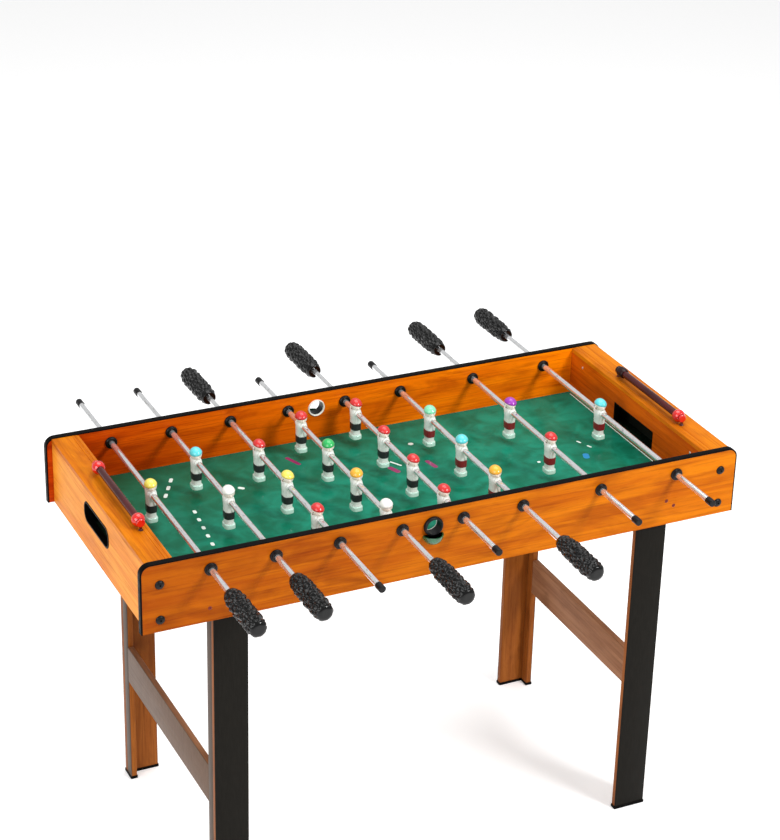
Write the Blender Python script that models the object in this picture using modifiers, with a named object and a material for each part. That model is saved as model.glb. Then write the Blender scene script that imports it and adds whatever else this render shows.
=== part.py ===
"""A table football game on four legs: an open cabinet with a playfield, eight steel player rods that slide
and spin, grips, players, goal boards, score rails and serve cups.

Metres, +Z up. The origin is on the floor under the middle of the table. +X runs along the cabinet to the
right, -Y is the front, where the left team's grips are.
"""

import math

import bmesh
import bpy
from mathutils import Matrix, Vector

MM = 0.001

# Overall sizes
LENGTH = 860 * MM  # cabinet, over the edge trim at both ends
WIDTH = 388 * MM  # cabinet, over the two side boards
CABINET_HEIGHT = 97 * MM  # side board with its edge trim
LEG_CLEAR_HEIGHT = 465 * MM  # floor to the underside of the cabinet
TOUCH_GAP = 0.3 * MM  # left between pieces that touch

# How many flats stand for a round
HOLE_SIDES = 24
BAR_SIDES = 16
BALL_RINGS = 12
SLOT_STEPS = 4
CUP_STEPS = 6

# Side boards and their edge trim
SIDE_BOARD = 9 * MM
TRIM = 1.5 * MM
TRIM_OVERHANG = 0.3 * MM  # the trim stands this far past each face of its board
CORNER_RADIUS = 14 * MM
CORNER_STEPS = 5

# Ends: an outer panel with a ball slot, a goal board with the goal mouth, and a deck on top
END_RECESS = 9 * MM  # side board's end to the end panel's outer face
END_PANEL = 9 * MM
GOAL_BOARD = 6 * MM
GOAL_FACE_TO_END = 48 * MM  # goal board's playing face to the side board's end
DECK = 6 * MM
DECK_DROP = 1.5 * MM  # deck surface below the top of the side boards
GOAL_WIDTH = 106 * MM
GOAL_HEIGHT = 34 * MM
GOAL_SILL = 6 * MM
SLOT_WIDTH = 96 * MM
SLOT_HEIGHT = 28 * MM
SLOT_RADIUS = 12 * MM
SLOT_CENTRE_HEIGHT = 57 * MM  # above the cabinet's underside

# Playfield
FIELD = 4 * MM
FIELD_HEIGHT = 24 * MM  # playing surface above the cabinet's underside

# Rods
ROD_DIAMETER = 8 * MM
ROD_WALL = 1.2 * MM
ROD_HEIGHT = 75 * MM  # axis above the cabinet's underside
ROD_CLEARANCE = 0.4 * MM  # round the rod in a board, a player or a grip
ROD_SIDES = 16
BARE_REACH = 300 * MM  # rod's middle to its bare end
GRIP_REACH = 378 * MM  # rod's middle to the grip's far end
CLOSE_PITCH = 87.5 * MM  # between the first six rods
WIDE_PITCH = 117 * MM  # between the last three rods

# Grips
GRIP_LENGTH = 92 * MM
GRIP_DIAMETER = 28 * MM
GRIP_NECK_DIAMETER = 19 * MM
GRIP_END_WALL = 12 * MM
GRIP_NECK = 4 * MM  # straight neck at the mouth
GRIP_SHOULDER = 9 * MM  # mouth to the shoulder
GRIP_SWELL = 30 * MM  # mouth to the full diameter
GRIP_TAPER = 18 * MM  # full diameter to the far end
GRIP_END_ROUND = 5 * MM
GRIP_EASE = 1.5 * MM  # radius lost between the full diameter and the shoulder

# Players
PLAYER_REACH = 40 * MM  # rod axis to the sole
PLAYER_HEAD = 20.5 * MM  # rod axis to the crown
PLAYER_SHOULDER = 20 * MM  # width along the rod
PLAYER_HEAD_DIAMETER = 22 * MM
PLAYER_CROWN = 2 * MM  # crown to the flat of the head's top
PLAYER_BROW = 9.5 * MM  # crown to the head's widest ring
PLAYER_CHEST = 15 * MM  # rod axis to the chest
PLAYER_FOOT = 7.2 * MM  # height of the flared foot
PLAYER_HUB = 1 * MM  # bore to the collar and to the shoulder
PLAYER_DEPTH = 0.82  # depth over width
PLAYER_SIDES = 12
SWING_CLEARANCE = 4.5 * MM  # sole to the goal board when a player swings level

# Score rails
RAIL_LENGTH = 178 * MM
RAIL_MIDDLE_Y = -16 * MM  # the rails stand a little towards the front
RAIL_DIAMETER = 10 * MM
RAIL_HEIGHT = 10.5 * MM  # axis above the deck
RAIL_POST = 4 * MM
RAIL_TO_DECK_EDGE = 14 * MM
KNOB_DIAMETER = 15 * MM
KNOB_LENGTH = 16 * MM
BEAD_DIAMETER = 18 * MM
BEAD_CLEARANCE = 0.4 * MM

# Serve cups
SERVE_HOLE = 22 * MM
SERVE_HOLE_HEIGHT = 72 * MM  # centre above the cabinet's underside
CUP_RADIUS = 14.5 * MM
CUP_DROP = 12 * MM  # cup's rim below the hole's centre
CUP_WALL = 1.8 * MM
CUP_PLATE = 2 * MM

# Legs and stretchers
LEG_FACE = 47 * MM  # leg's wide board
LEG_RETURN = 25 * MM  # leg's narrow board, over the corner
LEG_BOARD = 9 * MM
LEG_TO_END = 99 * MM  # leg's outer edge to the side board's end
STRETCHER_HEIGHT = 57 * MM
STRETCHER_BOTTOM = 168 * MM

# Rod rows from left to right: role, team, players, and where the rod rests along Y
ROWS = [
    ("left_goalkeeper", "left", 1, 24 * MM),
    ("left_defence", "left", 2, 28 * MM),
    ("right_attack", "right", 3, -22 * MM),
    ("left_midfield", "left", 4, -4 * MM),
    ("right_midfield", "right", 4, 5 * MM),
    ("left_attack", "left", 3, -14 * MM),
    ("right_defence", "right", 2, 6 * MM),
    ("right_goalkeeper", "right", 1, 14 * MM),
]
LAST_CLOSE_ROW = 5
# Middle of a centred row's end player to the side board, by how many players the row has
END_PLAYER_ROOM = {2: 125 * MM, 3: 85 * MM, 4: 44 * MM}

# Worked out from the sizes above
CABINET_BOTTOM = LEG_CLEAR_HEIGHT
CABINET_TOP = CABINET_BOTTOM + CABINET_HEIGHT
FIELD_TOP = CABINET_BOTTOM + FIELD_HEIGHT
FIELD_UNDERSIDE = FIELD_TOP - FIELD
ROD_Z = CABINET_BOTTOM + ROD_HEIGHT
DECK_TOP = CABINET_TOP - DECK_DROP
DECK_UNDERSIDE = DECK_TOP - DECK
INNER_Y = WIDTH / 2 - SIDE_BOARD
GOAL_FACE_X = LENGTH / 2 - GOAL_FACE_TO_END
PANEL_OUTER_X = LENGTH / 2 - END_RECESS
PANEL_INNER_X = PANEL_OUTER_X - END_PANEL
ROD_BORE = ROD_DIAMETER / 2 + ROD_CLEARANCE
FIRST_ROD_X = -(GOAL_FACE_X - PLAYER_REACH - SWING_CLEARANCE)
SERVE_X = FIRST_ROD_X + 3.5 * CLOSE_PITCH  # half-way between the two midfield rods
SERVE_Z = CABINET_BOTTOM + SERVE_HOLE_HEIGHT
RAIL_X = GOAL_FACE_X + RAIL_TO_DECK_EDGE
RAIL_Z = DECK_TOP + RAIL_HEIGHT

SIDES = {"left": -1, "right": 1}
ENDS_Y = {"front": -1, "back": 1}


# Scene and materials

def clear_scene():
    for obj in list(bpy.data.objects):
        bpy.data.objects.remove(obj, do_unlink=True)


def new_collection(name):
    collection = bpy.data.collections.new(name)
    bpy.context.scene.collection.children.link(collection)
    return collection


def finish(name, color, roughness, metallic=0.0):
    material = bpy.data.materials.new(name)
    material.use_nodes = True
    shader = material.node_tree.nodes["Principled BSDF"]
    shader.inputs["Base Color"].default_value = (*color, 1)
    shader.inputs["Roughness"].default_value = roughness
    shader.inputs["Metallic"].default_value = metallic
    return material


clear_scene()
TABLE = new_collection("foosball_table")
CUTTERS = new_collection("cutters")

WOOD = finish("orange_wood_laminate", (0.72, 0.27, 0.05), 0.45)
CHARCOAL = finish("charcoal_laminate", (0.03, 0.03, 0.03), 0.5)
GREEN = finish("green_field", (0.01, 0.16, 0.09), 0.3)
STEEL = finish("chromed_steel", (0.75, 0.73, 0.71), 0.2, 1.0)
BLACK = finish("black_plastic", (0.02, 0.02, 0.02), 0.45)
WHITE = finish("white_player_plastic", (0.8, 0.82, 0.78), 0.35)
MAROON = finish("maroon_plastic", (0.09, 0.01, 0.02), 0.3)
RED = finish("red_plastic", (0.7, 0.02, 0.01), 0.25)
CUP_GREEN = finish("green_plastic", (0.01, 0.12, 0.04), 0.25)


# Shapes

def object_from(name, mesh, material, collection=None):
    obj = bpy.data.objects.new(name, mesh)
    (collection or TABLE).objects.link(obj)
    obj.data.materials.clear()
    obj.data.materials.append(material)
    return obj


def as_cutter(obj):
    for owner in list(obj.users_collection):
        owner.objects.unlink(obj)
    CUTTERS.objects.link(obj)
    obj.hide_render = True
    obj.display_type = "WIRE"
    return obj


def box_mesh(name, size):
    mesh = bpy.data.meshes.new(name)
    shape = bmesh.new()
    bmesh.ops.create_cube(shape, size=1, matrix=Matrix.Diagonal((*size, 1)))
    shape.to_mesh(mesh)
    shape.free()
    return mesh


def box(name, low, high, material, collection=None):
    """A box between two corners."""
    low, high = Vector(low), Vector(high)
    obj = object_from(name, box_mesh(name, high - low), material, collection)
    obj.location = (low + high) / 2
    return obj


def bevel_edges(obj, radius, steps, chosen):
    """Rounds the edges for which chosen(first point, second point) is true."""
    shape = bmesh.new()
    shape.from_mesh(obj.data)
    edges = [edge for edge in shape.edges if chosen(*(vert.co for vert in edge.verts))]
    bmesh.ops.bevel(shape, geom=edges, offset=radius, segments=steps, affect="EDGES", profile=0.5)
    shape.to_mesh(obj.data)
    shape.free()
    return obj


def cylinder(name, radius, length, axis, centre, sides, material, collection=None):
    """A cylinder along X, Y or Z round a centre, with a flat of its polygon facing along Z."""
    mesh = bpy.data.meshes.new(name)
    shape = bmesh.new()
    bmesh.ops.create_cone(
        shape, cap_ends=True, segments=sides, radius1=radius, radius2=radius, depth=length
    )
    turns = {
        "X": Matrix.Rotation(math.pi / 2, 4, "Y"),
        "Y": Matrix.Rotation(math.pi / 2, 4, "X"),
        "Z": Matrix.Identity(4),
    }
    bmesh.ops.transform(shape, matrix=turns[axis], verts=shape.verts)
    shape.to_mesh(mesh)
    shape.free()
    obj = object_from(name, mesh, material, collection)
    obj.location = centre
    return obj


def turned(name, profile, steps, material, closed=False):
    """A profile of (radius, height) points turned about Z. It runs down its outer side, top to bottom."""
    mesh = bpy.data.meshes.new(name)
    edges = [(i, i + 1) for i in range(len(profile) - 1)]
    if closed:
        edges.append((len(profile) - 1, 0))
    mesh.from_pydata([(radius, 0, height) for radius, height in profile], edges, [])
    obj = object_from(name, mesh, material)
    screw = obj.modifiers.new("turn", "SCREW")
    screw.axis = "Z"
    screw.steps = screw.render_steps = steps
    screw.use_merge_vertices = True
    screw.merge_threshold = 0.01 * MM
    return obj


def apply_all(obj):
    """Turns the object and its modifiers into one plain mesh and removes the object."""
    graph = bpy.context.evaluated_depsgraph_get()
    mesh = bpy.data.meshes.new_from_object(obj.evaluated_get(graph))
    bpy.data.objects.remove(obj)
    return mesh


def boolean(obj, other, operation):
    cut = obj.modifiers.new(other.name, "BOOLEAN")
    cut.operation = operation
    cut.solver = "EXACT"
    cut.object = other
    return obj


def subtract(obj, *cutters):
    for cutter in cutters:
        boolean(obj, as_cutter(cutter), "DIFFERENCE")
    return obj


def join(obj, *others):
    for other in others:
        boolean(obj, as_cutter(other), "UNION")
    return obj


def arc(radius, centre, first_deg, last_deg, steps):
    """(radius, height) points on an arc in a turned profile."""
    points = []
    for i in range(steps + 1):
        angle = math.radians(first_deg + (last_deg - first_deg) * i / steps)
        points.append((centre[0] + radius * math.cos(angle), centre[1] + radius * math.sin(angle)))
    return points


# Cabinet

def outline_block(name, inset, thickness, y, drop, material, collection=None):
    """The side board's outline, with rounded top corners, moved in by inset and down past the bottom."""
    half = LENGTH / 2 - inset
    obj = box(
        name,
        (-half, y - thickness / 2, CABINET_BOTTOM - drop),
        (half, y + thickness / 2, CABINET_TOP - inset),
        material,
        collection,
    )
    return bevel_edges(
        obj,
        CORNER_RADIUS - inset,
        CORNER_STEPS,
        lambda a, b: a.z > 0 and b.z > 0 and abs(a.x - b.x) < TOUCH_GAP,
    )


def side_board(place):
    y = ENDS_Y[place] * (WIDTH / 2 - SIDE_BOARD / 2)
    board = outline_block(f"{place}_side_board", TRIM + TOUCH_GAP, SIDE_BOARD, y, 0, WOOD)
    through = 3 * SIDE_BOARD
    for row, x in enumerate(ROD_XS):
        hole = cylinder(
            f"{place}_rod_hole_{row + 1}", ROD_BORE, through, "Y", (x, y, ROD_Z), ROD_SIDES, BLACK
        )
        subtract(board, hole)
    serve = cylinder(
        f"{place}_serve_hole", SERVE_HOLE / 2, through, "Y", (SERVE_X, y, SERVE_Z), HOLE_SIDES, BLACK
    )
    subtract(board, serve)
    trim = outline_block(f"{place}_edge_trim", 0, SIDE_BOARD + 2 * TRIM_OVERHANG, y, 0, BLACK)
    inside = outline_block(f"{place}_trim_inside", TRIM, through, y, 2 * TRIM, BLACK)
    subtract(trim, inside)


def rod_positions():
    """X of each rod: the first six stand at the close pitch, the last three at the wide one."""
    xs = [FIRST_ROD_X]
    for row in range(1, len(ROWS)):
        xs.append(xs[-1] + (CLOSE_PITCH if row <= LAST_CLOSE_ROW else WIDE_PITCH))
    return xs


ROD_XS = rod_positions()


def end_box(place):
    """The outer panel, the goal board and the deck at one end of the cabinet."""
    way = SIDES[place]
    y = INNER_Y - TOUCH_GAP

    def span(name, near, far, bottom, top):
        xs = sorted((way * near, way * far))
        return box(name, (xs[0], -y, bottom), (xs[1], y, top), WOOD)

    top = DECK_UNDERSIDE - TOUCH_GAP
    panel = span(f"{place}_end_panel", PANEL_INNER_X, PANEL_OUTER_X, CABINET_BOTTOM, top)
    slot_z = CABINET_BOTTOM + SLOT_CENTRE_HEIGHT
    slot = box(
        f"{place}_slot",
        (-END_PANEL * 2, -SLOT_WIDTH / 2, -SLOT_HEIGHT / 2),
        (END_PANEL * 2, SLOT_WIDTH / 2, SLOT_HEIGHT / 2),
        BLACK,
    )
    bevel_edges(slot, SLOT_RADIUS, SLOT_STEPS, lambda a, b: abs(a.x - b.x) > END_PANEL)
    slot.location = (way * (PANEL_INNER_X + END_PANEL / 2), 0, slot_z)
    subtract(panel, slot)

    bottom = FIELD_TOP + TOUCH_GAP
    goal = span(f"{place}_goal_board", GOAL_FACE_X, GOAL_FACE_X + GOAL_BOARD, bottom, top)
    mouth_bottom = FIELD_TOP + GOAL_SILL
    xs = sorted((way * (GOAL_FACE_X - GOAL_BOARD), way * (GOAL_FACE_X + 2 * GOAL_BOARD)))
    mouth = box(
        f"{place}_mouth",
        (xs[0], -GOAL_WIDTH / 2, mouth_bottom),
        (xs[1], GOAL_WIDTH / 2, mouth_bottom + GOAL_HEIGHT),
        BLACK,
    )
    subtract(goal, mouth)

    span(f"{place}_end_deck", GOAL_FACE_X, PANEL_OUTER_X, DECK_UNDERSIDE, DECK_TOP)


def playfield():
    x = PANEL_INNER_X - TOUCH_GAP
    y = INNER_Y - TOUCH_GAP
    box("playfield", (-x, -y, FIELD_UNDERSIDE), (x, y, FIELD_TOP), GREEN)


def serve_cup(place):
    """A plate round the serve hole with an open half bowl under it, on the outside of a side board."""
    way = ENDS_Y[place]
    face = way * (WIDTH / 2 + TOUCH_GAP)
    rim_z = SERVE_Z - CUP_DROP
    plate_y = face + way * CUP_PLATE / 2
    plate = box(
        f"{place}_serve_cup",
        (SERVE_X - CUP_RADIUS, plate_y - CUP_PLATE / 2, rim_z - CUP_RADIUS),
        (SERVE_X + CUP_RADIUS, plate_y + CUP_PLATE / 2, SERVE_Z + CUP_RADIUS),
        CUP_GREEN,
    )
    bevel_edges(plate, CUP_RADIUS - TOUCH_GAP, CUP_STEPS, lambda a, b: abs(a.y - b.y) > CUP_PLATE / 2)

    def ball(name, radius):
        mesh = bpy.data.meshes.new(name)
        shape = bmesh.new()
        bmesh.ops.create_uvsphere(
            shape, u_segments=BAR_SIDES, v_segments=BALL_RINGS, radius=radius
        )
        shape.to_mesh(mesh)
        shape.free()
        obj = object_from(name, mesh, CUP_GREEN)
        obj.location = (SERVE_X, face, rim_z)
        return obj

    bowl = ball(f"{place}_bowl", CUP_RADIUS)
    far = 2 * CUP_RADIUS
    behind = sorted((face - way * far, face + way * CUP_PLATE / 2))
    subtract(
        bowl,
        ball(f"{place}_bowl_inside", CUP_RADIUS - CUP_WALL),
        box(
            f"{place}_bowl_top",
            (SERVE_X - far, -WIDTH, rim_z),
            (SERVE_X + far, WIDTH, rim_z + far),
            BLACK,
        ),
        box(
            f"{place}_bowl_back",
            (SERVE_X - far, behind[0], rim_z - far),
            (SERVE_X + far, behind[1], rim_z + far),
            BLACK,
        ),
    )
    join(plate, bowl)
    centre = (SERVE_X, plate_y, SERVE_Z)
    hole = cylinder(
        f"{place}_cup_hole", SERVE_HOLE / 2, 4 * CUP_PLATE, "Y", centre, HOLE_SIDES, BLACK
    )
    subtract(plate, hole)


# Legs

def leg(place_y, place_x):
    """Two boards joined at a corner: the wide one faces the front or back, the narrow one the end."""
    way_x, way_y = SIDES[place_x], ENDS_Y[place_y]
    outer_x = way_x * (LENGTH / 2 - LEG_TO_END)
    outer_y = way_y * (INNER_Y - TOUCH_GAP)
    top = FIELD_UNDERSIDE - TOUCH_GAP
    xs = sorted((outer_x, outer_x - way_x * LEG_FACE))
    ys = sorted((outer_y, outer_y - way_y * LEG_RETURN))
    obj = box(f"{place_y}_{place_x}_leg", (xs[0], ys[0], 0), (xs[1], ys[1], top), CHARCOAL)
    hollow_x = sorted((outer_x - way_x * LEG_BOARD, outer_x - way_x * 2 * LEG_FACE))
    hollow_y = sorted((outer_y - way_y * LEG_BOARD, outer_y - way_y * 2 * LEG_RETURN))
    hollow = box(
        f"{place_y}_{place_x}_hollow",
        (hollow_x[0], hollow_y[0], -LEG_FACE),
        (hollow_x[1], hollow_y[1], top + LEG_FACE),
        BLACK,
    )
    subtract(obj, hollow)


def stretcher(place):
    way = SIDES[place]
    outer = way * (LENGTH / 2 - LEG_TO_END)
    xs = sorted((outer, outer - way * LEG_BOARD))
    y = INNER_Y - TOUCH_GAP - LEG_RETURN - TOUCH_GAP
    box(
        f"{place}_stretcher",
        (xs[0], -y, STRETCHER_BOTTOM),
        (xs[1], y, STRETCHER_BOTTOM + STRETCHER_HEIGHT),
        WOOD,
    )


# Score rails

def score_rail(place, knobs):
    """A bar on two posts. A knob, where there is one, closes the back end."""
    x = SIDES[place] * RAIL_X
    centre = (x, RAIL_MIDDLE_Y, RAIL_Z)
    bar = cylinder(
        f"{place}_score_rail", RAIL_DIAMETER / 2, RAIL_LENGTH, "Y", centre, BAR_SIDES, MAROON
    )
    for end in (-1, 1):
        y = RAIL_MIDDLE_Y + end * (RAIL_LENGTH - RAIL_POST) / 2
        post = box(
            f"{place}_post_{end}",
            (x - RAIL_POST / 2, y - RAIL_POST / 2, DECK_TOP + TOUCH_GAP),
            (x + RAIL_POST / 2, y + RAIL_POST / 2, RAIL_Z),
            BLACK,
        )
        join(bar, post)
    if knobs:
        y = RAIL_MIDDLE_Y + (RAIL_LENGTH - KNOB_LENGTH) / 2 - RAIL_POST
        knob = cylinder(
            f"{place}_knob", KNOB_DIAMETER / 2, KNOB_LENGTH, "Y", (x, y, RAIL_Z), BAR_SIDES, BLACK
        )
        join(bar, knob)


def bead_mesh():
    """A ball with a hole through it, turned as one closed ring."""
    bore = RAIL_DIAMETER / 2 + BEAD_CLEARANCE
    tilt = math.degrees(math.asin(bore / (BEAD_DIAMETER / 2)))
    profile = arc(BEAD_DIAMETER / 2, (0, 0), 90 - tilt, tilt - 90, BALL_RINGS)
    return apply_all(turned("bead", profile, BAR_SIDES, RED, closed=True))


def score_beads():
    """Each bead rests against a rail's post."""
    mesh = bead_mesh()
    mesh.transform(Matrix.Rotation(math.pi / 2, 4, "X"))
    bore = RAIL_DIAMETER / 2 + BEAD_CLEARANCE
    half = math.sqrt((BEAD_DIAMETER / 2) ** 2 - bore**2)
    rest = RAIL_LENGTH / 2 - RAIL_POST - half - TOUCH_GAP
    for name, place, end in (
        ("left_front_score_bead", "left", -1),
        ("left_back_score_bead", "left", 1),
        ("right_score_bead", "right", -1),
    ):
        bead = object_from(name, mesh, RED)
        bead.location = (SIDES[place] * RAIL_X, RAIL_MIDDLE_Y + end * rest, RAIL_Z)


# Rods, grips and players

def rod_mesh():
    """A tube along Y, from the bare end at +Y to inside the grip at -Y."""
    outer, inner = ROD_DIAMETER / 2, ROD_DIAMETER / 2 - ROD_WALL
    top, bottom = BARE_REACH, -(GRIP_REACH - GRIP_END_WALL - TOUCH_GAP)
    profile = [(outer, top), (outer, bottom), (inner, bottom), (inner, top)]
    mesh = apply_all(turned("rod", profile, ROD_SIDES, STEEL, closed=True))
    mesh.transform(Matrix.Rotation(-math.pi / 2, 4, "X"))
    return mesh


def grip_mesh():
    """A turned grip with a blind bore for the rod, its closed end at -Y."""
    mouth = -(GRIP_REACH - GRIP_LENGTH)
    floor = -(GRIP_REACH - GRIP_END_WALL)
    end = -GRIP_REACH
    full, neck = GRIP_DIAMETER / 2, GRIP_NECK_DIAMETER / 2
    profile = [
        (ROD_BORE, mouth),
        (neck, mouth),
        (neck, mouth - GRIP_NECK),
        (full - GRIP_EASE, mouth - GRIP_SHOULDER),
        (full, mouth - GRIP_SWELL),
        (full, end + GRIP_TAPER),
        (full - GRIP_EASE, end + GRIP_END_ROUND),
        (full - GRIP_END_ROUND, end),
        (0, end),
    ]
    inside = [(0, floor), (ROD_BORE, floor)]
    mesh = apply_all(turned("grip", inside + profile, ROD_SIDES, BLACK))
    mesh.transform(Matrix.Rotation(-math.pi / 2, 4, "X"))
    return mesh


def player_mesh():
    """A turned body with a round head, flattened front to back, bored for the rod under the head."""
    half = PLAYER_SHOULDER / 2
    head = PLAYER_HEAD_DIAMETER / 2
    collar = ROD_BORE + PLAYER_HUB
    foot = PLAYER_REACH - PLAYER_FOOT
    profile = [
        (0, PLAYER_HEAD),
        (head * 0.6, PLAYER_HEAD - PLAYER_CROWN),
        (head, PLAYER_HEAD - PLAYER_BROW),
        (head * 0.8, collar),
        (half, -collar),
        (half * 0.95, -PLAYER_CHEST),
        (half * 0.8, -(PLAYER_CHEST + foot) / 2),
        (half, -foot),
        (half * 0.97, -PLAYER_REACH),
        (0, -PLAYER_REACH),
    ]
    mesh = apply_all(turned("player", profile, PLAYER_SIDES, WHITE))
    mesh.transform(Matrix.Diagonal((PLAYER_DEPTH, 1, 1, 1)))
    body = object_from("player", mesh, WHITE)
    bore = cylinder("player_bore", ROD_BORE, 4 * PLAYER_SHOULDER, "Y", (0, 0, 0), ROD_SIDES, BLACK)
    return apply_all(subtract(body, bore))


def rows():
    rod, grip, player = rod_mesh(), grip_mesh(), player_mesh()
    for (role, team, count, rest), x in zip(ROWS, ROD_XS):
        spacing = 2 * (INNER_Y - END_PLAYER_ROOM[count]) / (count - 1) if count > 1 else 0
        # the right team's rods are the left team's turned half round, so that their grips are at the back
        turn = 0 if team == "left" else math.pi
        for name, mesh, material in ((f"{role}_rod", rod, STEEL), (f"{role}_grip", grip, BLACK)):
            obj = object_from(name, mesh, material)
            obj.location = (x, rest, ROD_Z)
            obj.rotation_euler = (0, 0, turn)
        for i in range(count):
            y = rest + spacing * (i - (count - 1) / 2)
            obj = object_from(f"{role}_player_{i + 1}", player, WHITE)
            obj.location = (x, y, ROD_Z)
            obj.rotation_euler = (0, 0, turn)


for place_y in ENDS_Y:
    side_board(place_y)
    serve_cup(place_y)
    for place_x in SIDES:
        leg(place_y, place_x)
for place_x in SIDES:
    end_box(place_x)
    stretcher(place_x)
playfield()
score_rail("left", knobs=False)
score_rail("right", knobs=True)
score_beads()
rows()

for piece in TABLE.objects:
    piece.data.shade_smooth()
    piece.data.set_sharp_from_angle(angle=math.radians(35))
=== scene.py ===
"""A table football game as it looks: boards, trim, field, rods, grips and players round the CAD frame.

Metres, +Z up, in the frame's own coordinates. Sizes written with MM are in millimetres.
"""

import math

import bpy
import numpy as np
from mathutils import Euler, Matrix, Vector


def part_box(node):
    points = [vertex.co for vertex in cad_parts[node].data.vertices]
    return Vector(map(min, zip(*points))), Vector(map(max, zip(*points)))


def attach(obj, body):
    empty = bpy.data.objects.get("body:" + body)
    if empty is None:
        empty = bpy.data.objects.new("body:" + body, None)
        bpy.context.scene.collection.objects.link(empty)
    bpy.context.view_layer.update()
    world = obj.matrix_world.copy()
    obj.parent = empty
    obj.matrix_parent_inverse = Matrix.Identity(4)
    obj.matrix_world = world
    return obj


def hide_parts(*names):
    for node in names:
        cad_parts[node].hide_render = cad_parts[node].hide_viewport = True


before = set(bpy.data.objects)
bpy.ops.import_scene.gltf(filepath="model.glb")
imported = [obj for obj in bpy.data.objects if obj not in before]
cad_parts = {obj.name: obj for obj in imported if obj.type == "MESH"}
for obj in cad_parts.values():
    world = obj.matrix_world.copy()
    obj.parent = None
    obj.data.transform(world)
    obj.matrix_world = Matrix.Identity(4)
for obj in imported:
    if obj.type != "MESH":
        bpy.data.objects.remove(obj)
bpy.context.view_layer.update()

# ----------------------------------
# Camera. A long lens stands off the front left corner, above the table, and looks down at it with the
# slightest roll, so that the whole table but the near foot is in view.

CAMERA_AT = (-1.2319, -2.5572, 1.9752)
CAMERA_TURN, CAMERA_DIP, CAMERA_ROLL = (math.radians(angle) for angle in (25.66, 25.93, 1.49))
LENS = 100.1

camera_data = bpy.data.cameras.new("camera")
camera_data.lens = LENS
camera_data.sensor_width = 36
camera_data.clip_end = 60
camera = bpy.data.objects.new("camera", camera_data)
level_aim = Euler((math.pi / 2 - CAMERA_DIP, 0, -CAMERA_TURN)).to_matrix()
aim = level_aim @ Matrix.Rotation(CAMERA_ROLL, 3, "Z")
camera.matrix_world = Matrix.Translation(CAMERA_AT) @ aim.to_4x4()
bpy.context.scene.collection.objects.link(camera)
bpy.context.scene.camera = camera

# ----------------------------------
# Studio. A pale floor that runs out of sight, a soft key light high on the right, a weaker one on the
# left, and one overhead.

MM = 0.001
CORNERS = np.array([(1, 1), (-1, 1), (-1, -1), (1, -1)])  # of a square, anticlockwise


def add(tree, kind, inputs, **settings):
    """A shader node. Its inputs are plain values, or the sockets that feed them."""
    node = tree.nodes.new("ShaderNode" + kind)
    for name, value in settings.items():
        setattr(node, name, value)
    for key, value in inputs.items():
        if isinstance(value, bpy.types.NodeSocket):
            tree.links.new(value, node.inputs[key])
        else:
            node.inputs[key].default_value = value
    return node


def finish(name, color, roughness, **inputs):
    """A material with its Principled shader. Other inputs are given by name, with _ for a space."""
    material = bpy.data.materials.new(name)
    material.use_nodes = True
    tree = material.node_tree
    shader = tree.nodes["Principled BSDF"]
    shader.inputs["Base Color"].default_value = (*color, 1)
    shader.inputs["Roughness"].default_value = roughness
    for key, value in inputs.items():
        shader.inputs[key.replace("_", " ")].default_value = value
    return material, tree, shader


def skin(rings, loop=False):
    """Points and faces over rings of points. Each ring is closed, and the first and last get flat caps, or
    join each other with loop. The faces point away from the middle of the shape."""
    rings = np.asarray(rings, float)
    index = np.arange(rings.shape[0] * rings.shape[1]).reshape(rings.shape[:2])
    near = index if loop else index[:-1]
    far = np.roll(index, -1, axis=0) if loop else index[1:]
    quads = np.stack([near, np.roll(near, -1, 1), np.roll(far, -1, 1), far], axis=-1).reshape(-1, 4)
    points = rings.reshape(-1, 3)
    a, b, c, d = (points - points.mean(axis=0))[quads].transpose(1, 0, 2)
    volume = (np.cross(b, c) * a).sum() + (np.cross(c, d) * a).sum()
    caps = [] if loop else [index[0][::-1], index[-1]]
    if volume < 0:
        quads = quads[:, ::-1]
        caps = [cap[::-1] for cap in caps]
    return points, quads, caps


def place(name, shapes, crease=35):
    """One object at the origin from (skin, material) pairs. Edges past the crease angle stay sharp."""
    points, faces, slots, materials = [], [], [], []
    start = 0
    for (shape_points, quads, caps), material in shapes:
        if material not in materials:
            materials.append(material)
        points.append(shape_points)
        faces += (quads + start).tolist() + [(cap + start).tolist() for cap in caps]
        slots += [materials.index(material)] * (len(quads) + len(caps))
        start += len(shape_points)
    mesh = bpy.data.meshes.new(name)
    mesh.from_pydata(np.concatenate(points), [], faces)
    for material in materials:
        mesh.materials.append(material)
    mesh.polygons.foreach_set("material_index", np.array(slots, np.int32))
    mesh.shade_smooth()
    mesh.set_sharp_from_angle(angle=math.radians(crease))
    obj = bpy.data.objects.new(name, mesh)
    bpy.context.scene.collection.objects.link(obj)
    return obj


FLOOR_REACH = 14
FLOOR_THICKNESS = 20 * MM

floor_material, _, _ = finish(
    "pale_floor", (0.86, 0.86, 0.86), 0.7, Emission_Color=(1, 1, 1, 1), Emission_Strength=0.34
)
floor_rings = [
    np.column_stack([FLOOR_REACH * CORNERS, np.full(4, z)]) for z in (-FLOOR_THICKNESS, 0)
]
place("floor", [(skin(floor_rings), floor_material)])

TABLE_MIDDLE = Vector((0, 0, 0.45))


def softbox(name, at, size, watts):
    """A round area light that faces the middle of the table."""
    light = bpy.data.lights.new(name, "AREA")
    light.shape = "DISK"
    light.size = size
    light.energy = watts
    obj = bpy.data.objects.new(name, light)
    turn = (TABLE_MIDDLE - Vector(at)).to_track_quat("-Z", "Y")
    obj.matrix_world = Matrix.Translation(at) @ turn.to_matrix().to_4x4()
    bpy.context.scene.collection.objects.link(obj)


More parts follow.
